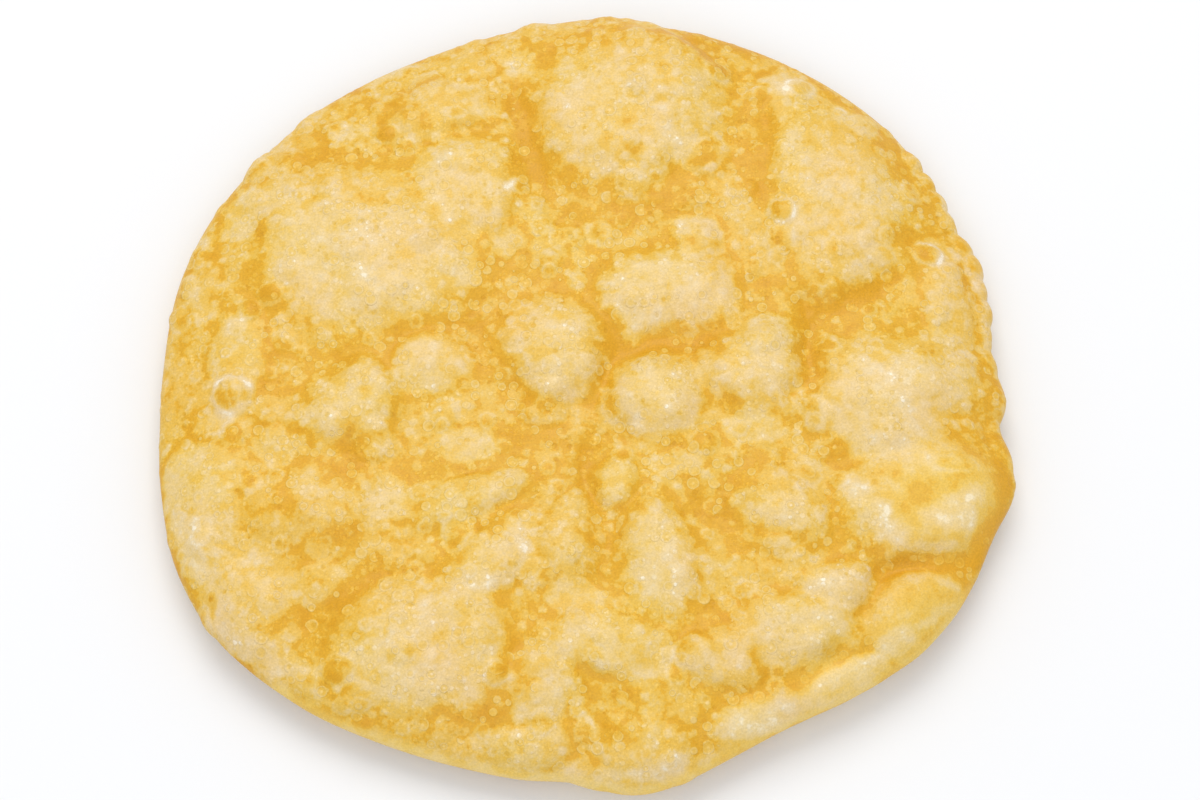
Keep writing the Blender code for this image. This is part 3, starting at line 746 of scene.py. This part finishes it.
def skin_tone(u, v, cushions, blisters, bubbles, layer):
    """How pale the skin is at each place, from 0 to 1, from its cushions and scattered blisters."""
    ragged_u, ragged_v = wavered(*wavered(u, v, layer), layer + RAGGED_LAYER, RAGGED_EDGES)
    body = np.zeros_like(u)
    pale = np.zeros_like(u)
    for c in cushions:
        # The palest lobe sits towards the cushion's near side: painted light.
        lobe = c._replace(
            y=c.y - NEAR_LIGHT_SHIFT * c.width, length=PALE_SIZE * c.length, width=PALE_SIZE * c.width
        )
        extra = PALE_SHARE * (c.pale - BODY_TONE)
        body = np.maximum(body, cushion_share(ragged_u, ragged_v, c))
        pale = np.maximum(pale, extra * cushion_share(ragged_u, ragged_v, lobe, PALE_FALL))
    outer, middle, inner = CHANNEL_EDGES
    channel = smooth_step(outer, middle, body) * (1 - smooth_step(middle, inner, body))
    tone = GROUND_TONE + (BODY_TONE - GROUND_TONE) * smooth_step(*BODY_EDGE, body) + pale
    # Deeper in the channel: partly the skin's own colour, partly painted shade in the valley.
    tone += CHANNEL_DEEPENING_AND_SHADE * channel
    for step, (wavelength, reach) in enumerate(MOTTLES):
        tone += reach * noise_at(u, v, wavelength, layer + MOTTLE_LAYER + step)
    tone += (1 - tone) * BLISTER_TONE * pale_share(ragged_u, ragged_v, blisters, TOP_SCATTER)
    tone += (1 - tone) * BUBBLE_TONE * pale_share(u, v, bubbles, TOP_BUBBLES)
    return tone


def stroke_tone(u, v, strokes):
    """How much strokes deepen or pale the skin at each place."""
    u, v = wavered(u, v, STROKE_LAYER, STROKE_EDGES)
    tone = np.zeros_like(u)
    for stroke in strokes:
        far = distance_to_line(u, v, stroke.points) / stroke.half_width
        tone += stroke.tone * np.exp(-(far**STROKE_FLATNESS))
    return tone


def places_without_bubbles(section):
    """Circles inside which the skin has no bubbles."""
    rim = []
    for angle in np.radians(np.arange(SMOOTH_RIM_FROM, SMOOTH_RIM_TO)):
        rim.append((section.rim * math.cos(angle), section.rim * math.sin(angle), SMOOTH_RIM_WIDTH))
    return list(SMOOTH_PLACES), rim


def bubbly_share(u, v, places, rim):
    """0 along the smooth rim, low inside the smooth places, 1 well outside them."""
    share = np.ones_like(u)
    for circles, smoothest in ((places, SMOOTHEST_PLACE), (rim, SMOOTHEST_RIM)):
        for x, y, radius in circles:
            inside = 1 - smooth_step(*SMOOTH_EDGE, np.hypot(u - x, v - y) / radius)
            share = np.minimum(share, 1 - smoothest * inside)
    return share


def top_skin(section, u, v):
    """The top skin: its relief's height above the plain skin, its tone, and how bubbly it is."""
    rng = random.Random(TOP_SEED)
    moved_u, moved_v = wavered(u, v, TOP_LAYER)
    cushions = [moved(c, on_wavered_skin(section, c.x, c.y)) for c in TOP_CUSHIONS]
    patches = [moved(c, on_wavered_skin(section, c.x, c.y)) for c in PALE_PATCHES]
    creases = [c._replace(points=[on_wavered_skin(section, *p) for p in c.points]) for c in TOP_CREASES]
    strokes = [s._replace(points=[section.on_skin(*p) for p in s.points]) for s in TONE_STROKES]
    singles = [moved(b, section.on_skin(b.x, b.y)) for b in TOP_BLISTERS]
    beads = rim_beads(section, rng)
    blisters = scattered(rng, TOP_SCATTER, section.rim, SMOOTH_PLACES, singles + beads)
    smooth_places, smooth_rim = places_without_bubbles(section)
    bubble_rng = random.Random(TOP_BUBBLE_SEED)
    bubbles = scattered(bubble_rng, TOP_BUBBLES, section.rim, smooth_places + smooth_rim, singles)
    height = cushion_relief(moved_u, moved_v, cushions)
    height += crease_relief(moved_u, moved_v, creases)
    height += fold_relief(u, v)
    height += UNEVEN_HEIGHT * noise_at(u, v, UNEVEN_LENGTH, TOP_LAYER + UNEVEN_LAYER)
    height *= rim_fade(section.rim - np.hypot(u, v))
    height += blister_relief(u, v, [*singles, *beads, *blisters]) + blister_relief(u, v, bubbles)
    tone = skin_tone(u, v, cushions + patches, blisters + beads, bubbles, TOP_LAYER)
    tone += stroke_tone(u, v, strokes) + ring_tone(u, v, singles)
    # Deeper in the creases: partly the skin's own colour, partly painted shade.
    tone += CREASE_DEEPENING_AND_SHADE * -crease_relief(moved_u, moved_v, creases)
    return height, tone, bubbly_share(u, v, smooth_places, smooth_rim)


def under_skin(section, u, v):
    """The same for the underside, where a height above the skin is measured outwards, so down."""
    rng = random.Random(UNDER_SEED)
    moved_u, moved_v = wavered(u, v, UNDER_LAYER)
    cushions = under_cushions(section, rng)
    height = cushion_relief(moved_u, moved_v, cushions)
    height += UNEVEN_HEIGHT * noise_at(u, v, UNEVEN_LENGTH, UNDER_LAYER + UNEVEN_LAYER)
    reach = section.end - section.rim
    height *= rim_fade(reach - np.hypot(u, v))
    blisters = scattered(rng, UNDER_SCATTER, reach, (), [])
    bubbles = scattered(random.Random(UNDER_BUBBLE_SEED), UNDER_BUBBLES, reach, (), [])
    height += blister_relief(u, v, blisters) + blister_relief(u, v, bubbles)
    tone = skin_tone(u, v, cushions, blisters, bubbles, UNDER_LAYER)
    return height, tone, np.ones_like(u)


def whole_skin(section, distance, angles):
    """Relief, tone and bubbly share everywhere: the top's, then the underside's past the rim."""
    top_share = 1 - smooth_step(0, RIM_WRAP, distance - section.rim)
    whole = np.zeros((3, len(distance)))
    inward = section.end - distance
    for side, share, flat in ((top_skin, top_share, distance), (under_skin, 1 - top_share, inward)):
        there = share > 0
        u, v = flat[there] * np.cos(angles[there]), flat[there] * np.sin(angles[there])
        whole[:, there] += share[there] * np.array(side(section, u, v))
    return whole


def ring_rows(section):
    """Where the mesh has a ring of points: distance along the skin from the crown, and facet length."""
    count = round(section.rim / TOP_FACET)
    rows = [(section.rim * step / count, TOP_FACET) for step in range(1, count + 1)]
    distance, facet = section.rim + TOP_FACET, TOP_FACET
    while distance + 0.5 * facet < section.end:
        rows.append((distance, facet))
        facet = min(facet * FACET_GROWTH, UNDER_FACET)
        distance += facet
    return rows


def zipped(inner, outer, turn):
    """Triangles between two rings of points, each a list of (angle, index) around the same centre."""
    faces = []
    i = j = 0
    while i < len(inner) or j < len(outer):
        next_inner = inner[(i + 1) % len(inner)][0] + turn * ((i + 1) // len(inner))
        next_outer = outer[(j + 1) % len(outer)][0] + turn * ((j + 1) // len(outer))
        a, b = inner[i % len(inner)][1], outer[j % len(outer)][1]
        if j < len(outer) and (i >= len(inner) or next_outer <= next_inner):
            j += 1
            faces.append((a, b, outer[j % len(outer)][1]))
        else:
            i += 1
            faces.append((a, b, inner[i % len(inner)][1]))
    return faces


def fan(middle, ring):
    """Triangles from one point to the ring around it, facing up."""
    return [(middle, a[1], b[1]) for a, b in zip(ring, ring[1:] + ring[:1])]


def skin_mesh(section):
    """Rings of points from the crown around the rim to the foot: (distances, angles, faces)."""
    full_turn = 2 * math.pi
    distances, angles, faces = [0.0], [0.0], []
    inner = [(0.0, 0)]
    for step, (distance, facet) in enumerate(ring_rows(section)):
        around = full_turn * RIM_RADIUS * float(section.share_at(distance))
        count = max(FEWEST_IN_RING, round(around / facet))
        outer = []
        for k in range(count):
            angle = full_turn * (k + 0.5 * (step % 2)) / count
            outer.append((angle, len(distances)))
            distances.append(distance)
            angles.append(angle)
        faces += zipped(inner, outer, full_turn) if step else fan(0, outer)
        inner = outer
    last = len(distances)
    distances.append(section.end)
    angles.append(0.0)
    faces += [face[::-1] for face in fan(last, inner)]
    return np.array(distances), np.array(angles), faces


def puri_skin():
    """The bread's whole skin as one fine closed mesh, with its tone and bubbly share on every point."""
    section = Section()
    distance, angles, faces = skin_mesh(section)
    height, tone, bubbly = whole_skin(section, distance, angles)
    points = section.points(distance, angles) + section.normals(distance, angles) * height[:, None]
    points += np.array([CENTRE_X, CENTRE_Y, 0.0])
    points[:, 2] = np.maximum(points[:, 2], 0.0)
    mesh = bpy.data.meshes.new("puri_skin")
    mesh.from_pydata((points * MM).tolist(), [], faces)
    mesh.shade_smooth()
    for name, values in (("tone", tone), ("bubbly", bubbly)):
        mesh.attributes.new(name, "FLOAT", "POINT").data.foreach_set("value", values.astype(np.float32))
    piece = bpy.data.objects.new("puri_skin", mesh)
    bpy.context.scene.collection.objects.link(piece)
    mesh.materials.append(crust_material())
    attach(piece, "root")
    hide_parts("puri")
    return piece


class Nodes:
    """Short calls to build a material's node tree."""

    def __init__(self, material):
        material.use_nodes = True
        self.tree = material.node_tree
        self.shader = self.tree.nodes["Principled BSDF"]

    def add(self, kind, inputs=None, **settings):
        node = self.tree.nodes.new(kind)
        for name, value in settings.items():
            setattr(node, name, value)
        for name, value in (inputs or {}).items():
            self.feed(node.inputs[name], value)
        return node

    def feed(self, socket, value):
        if isinstance(value, bpy.types.NodeSocket):
            self.tree.links.new(value, socket)
        else:
            socket.default_value = value

    def maths(self, operation, first, second=0.0, third=0.0, clamp=False):
        node = self.add("ShaderNodeMath", {0: first, 1: second, 2: third}, operation=operation)
        node.use_clamp = clamp
        return node.outputs[0]

    def step(self, value, low, high):
        """0 below low and 1 above high, or the other way round, with a soft change between."""
        inputs = {"Value": value, "From Min": low, "From Max": high}
        node = self.add("ShaderNodeMapRange", inputs, interpolation_type="SMOOTHSTEP")
        return node.outputs[0]

    def noise(self, size_mm, detail=2.0):
        place = self.add("ShaderNodeTexCoord").outputs["Object"]
        inputs = {"Vector": place, "Scale": 1 / (size_mm * MM), "Detail": detail}
        return self.add("ShaderNodeTexNoise", inputs).outputs["Fac"]

    def specks(self, kind):
        """Round specks of uneven size: (1 inside each, distance from its middle, 1 where one may be)."""
        place = self.add("ShaderNodeTexCoord").outputs["Object"]
        cells = self.add("ShaderNodeTexVoronoi", {"Vector": place, "Scale": 1 / (kind.spacing * MM)})
        cell = self.add("ShaderNodeSeparateColor", {"Color": cells.outputs["Color"]})
        spread = SPECK_LARGEST - SPECK_SMALLEST
        size = self.maths("MULTIPLY_ADD", cell.outputs[1], spread, SPECK_SMALLEST)
        far = self.maths("DIVIDE", cells.outputs["Distance"], size)
        there = self.step(cell.outputs[0], 1 - kind.share, 1 - SPECK_FULL_PART * kind.share)
        patches = self.step(self.noise(kind.patch_size), *kind.patch_edge)
        there = self.maths("MULTIPLY", there, patches)
        return self.maths("MULTIPLY", self.step(far, *kind.edge), there), far, there


def skin_marks(nodes, bubbly):
    """The marks too fine to be shapes, by kind. Only bubbly skin has specks, and all skin has grain."""
    pearls, from_middle, there = nodes.specks(PEARLS)
    marks = {
        "pearls": pearls,
        "hollows": nodes.maths("MULTIPLY", nodes.step(from_middle, *HOLLOW_EDGE), there),
        "glints": nodes.maths("MULTIPLY", nodes.step(from_middle, *GLINT_EDGE), there),
        "dots": nodes.specks(DOTS)[0],
        "sparkles": nodes.specks(SPARKLES)[0],
        "pits": nodes.specks(PITS)[0],
    }
    marks = {kind: nodes.maths("MULTIPLY", mark, bubbly) for kind, mark in marks.items()}
    marks["grain"] = nodes.noise(RELIEF_GRAIN, FINE_DETAIL)
    return marks


def marked(nodes, value, marks, changes):
    """The value with what each kind of mark adds to it."""
    for kind, change in changes.items():
        value = nodes.maths("MULTIPLY_ADD", marks[kind], change, value)
    return value


def fine_tone(nodes, tone, marks):
    """The skin's tone with ragged, clear and outlined edges, and with its marks."""
    for size, reach in TONE_GRAINS:
        lowered = nodes.maths("SUBTRACT", tone, 0.5 * reach)
        tone = nodes.maths("MULTIPLY_ADD", nodes.noise(size, FINE_DETAIL), reach, lowered)
    ragged = tone
    tone = nodes.maths("MULTIPLY_ADD", ragged, TONE_SCALE, TONE_SHIFT)
    for edge in TONE_EDGES:
        tone = nodes.maths("MULTIPLY_ADD", nodes.step(ragged, *edge), TONE_EDGE_RISE, tone)
    over, under = (nodes.step(ragged, *edge) for edge in OUTLINE_EDGES)
    tone = nodes.maths("MULTIPLY_ADD", nodes.maths("MULTIPLY", over, under), OUTLINE_TONE, tone)
    below_pearl = nodes.maths("MAXIMUM", nodes.maths("SUBTRACT", PEARL_TONE, tone), 0.0)
    paler = nodes.maths("MULTIPLY", marks["pearls"], below_pearl)
    tone = nodes.maths("MULTIPLY_ADD", paler, PEARL_SHARE, tone)
    return marked(nodes, tone, marks, TONE_CHANGES)


def colour_by_tone(nodes, tone):
    ramp = nodes.add("ShaderNodeValToRGB", {"Fac": tone})
    stops = ramp.color_ramp.elements
    while len(stops) < len(TONE_COLOURS):
        stops.new(0.5)
    for stop, (position, colour) in zip(stops, TONE_COLOURS):
        stop.position = position
        stop.color = (*colour, 1.0)
    return ramp.outputs["Color"]


def skin_colour(nodes, tone, bubbly, marks):
    """The tone's colour, clearer on smooth skin and brighter on the near rim as painted light, with a fine
    grain and slow changes towards lemon.
    """
    clear = nodes.maths("POWER", nodes.maths("SUBTRACT", 1.0, bubbly, clamp=True), CLEAR_FALL)
    clear = nodes.maths("MULTIPLY", clear, CLEAR_SHARE)
    blend = nodes.add("ShaderNodeMix", data_type="RGBA")
    for socket, value in ((0, clear), (6, colour_by_tone(nodes, tone)), (7, CLEAR_AND_LIT_COLOUR)):
        nodes.feed(blend.inputs[socket], value)
    shade = nodes.maths("MULTIPLY_ADD", nodes.noise(SHADE_SIZE, FINE_DETAIL), SHADE_RANGE, SHADE_LEAST)
    # Painted highlights on sparkles, glints and dots, and painted shade in pits.
    shade = marked(nodes, shade, marks, SHADE_CHANGES)
    shaded = nodes.add("ShaderNodeVectorMath", {0: blend.outputs[2], "Scale": shade}, operation="SCALE")
    green = nodes.maths("MULTIPLY_ADD", nodes.noise(LEMON_SIZE), LEMON_RANGE, 1 - 0.5 * LEMON_RANGE)
    tint = nodes.add("ShaderNodeCombineXYZ", {"X": 1.0, "Y": green, "Z": 1.0})
    both = {0: shaded.outputs[0], 1: tint.outputs[0]}
    return nodes.add("ShaderNodeVectorMath", both, operation="MULTIPLY").outputs[0]


def crust_material():
    material = bpy.data.materials.new("fried_crust")
    nodes = Nodes(material)
    tone = nodes.add("ShaderNodeAttribute", attribute_name="tone").outputs["Fac"]
    bubbly = nodes.add("ShaderNodeAttribute", attribute_name="bubbly").outputs["Fac"]
    marks = skin_marks(nodes, bubbly)
    colour = skin_colour(nodes, fine_tone(nodes, tone, marks), bubbly, marks)
    rough = nodes.maths("MULTIPLY_ADD", nodes.noise(ROUGHNESS_SIZE), ROUGHNESS_RANGE, ROUGHNESS_LEAST)
    relief = marked(nodes, marks["pearls"], marks, RELIEF_CHANGES)
    inputs = {"Height": relief, "Distance": RELIEF_DEPTH * MM, "Strength": RELIEF_STRENGTH}
    bump = nodes.add("ShaderNodeBump", inputs)
    nodes.feed(nodes.shader.inputs["Base Color"], colour)
    nodes.feed(nodes.shader.inputs["Roughness"], rough)
    nodes.feed(nodes.shader.inputs["Specular IOR Level"], SHINE)
    nodes.feed(nodes.shader.inputs["Normal"], bump.outputs["Normal"])
    return material


def white_floor():
    material = bpy.data.materials.new("white_floor")
    material.use_nodes = True
    shader = material.node_tree.nodes["Principled BSDF"]
    shader.inputs["Base Color"].default_value = FLOOR_COLOUR
    shader.inputs["Roughness"].default_value = FLOOR_ROUGHNESS
    bpy.ops.mesh.primitive_plane_add(size=FLOOR_SIZE * MM)
    floor = bpy.context.object
    floor.name = "floor"
    floor.data.materials.append(material)


def point_at(thing, target):
    thing.rotation_euler = (target - thing.location).to_track_quat("-Z", "Y").to_euler()


def soft_light(light):
    """A square light that shines on the middle of the bread."""
    lamp = bpy.data.lights.new(light.name, "AREA")
    lamp.size = light.size * MM
    lamp.energy = light.power
    lamp.color = light.colour
    around, up = math.radians(light.azimuth), math.radians(light.elevation)
    out = Vector((math.sin(around) * math.cos(up), -math.cos(around) * math.cos(up), math.sin(up)))
    stand = bpy.data.objects.new(light.name, lamp)
    stand.location = out * (light.distance * MM)
    point_at(stand, Vector((0, 0, 0)))
    bpy.context.scene.collection.objects.link(stand)


def studio():
    scene = bpy.context.scene
    scene.view_settings.view_transform = "Standard"
    world = bpy.data.worlds.new("studio")
    world.use_nodes = True
    world.node_tree.nodes["Background"].inputs["Color"].default_value = SKY_COLOUR
    world.node_tree.nodes["Background"].inputs["Strength"].default_value = SKY_STRENGTH
    scene.world = world
    for light in LIGHTS:
        soft_light(light)


def camera():
    lens = bpy.data.cameras.new("camera")
    lens.lens = CAMERA_LENS
    lens.clip_start = CAMERA_CLIP * MM
    view = bpy.data.objects.new("camera", lens)
    up = math.radians(CAMERA_ELEVATION)
    target = Vector(CAMERA_TARGET) * MM
    view.location = target + Vector((0, -math.cos(up), math.sin(up))) * CAMERA_DISTANCE * MM
    point_at(view, target)
    bpy.context.scene.collection.objects.link(view)
    bpy.context.scene.camera = view


camera()
studio()
white_floor()
puri_skin()
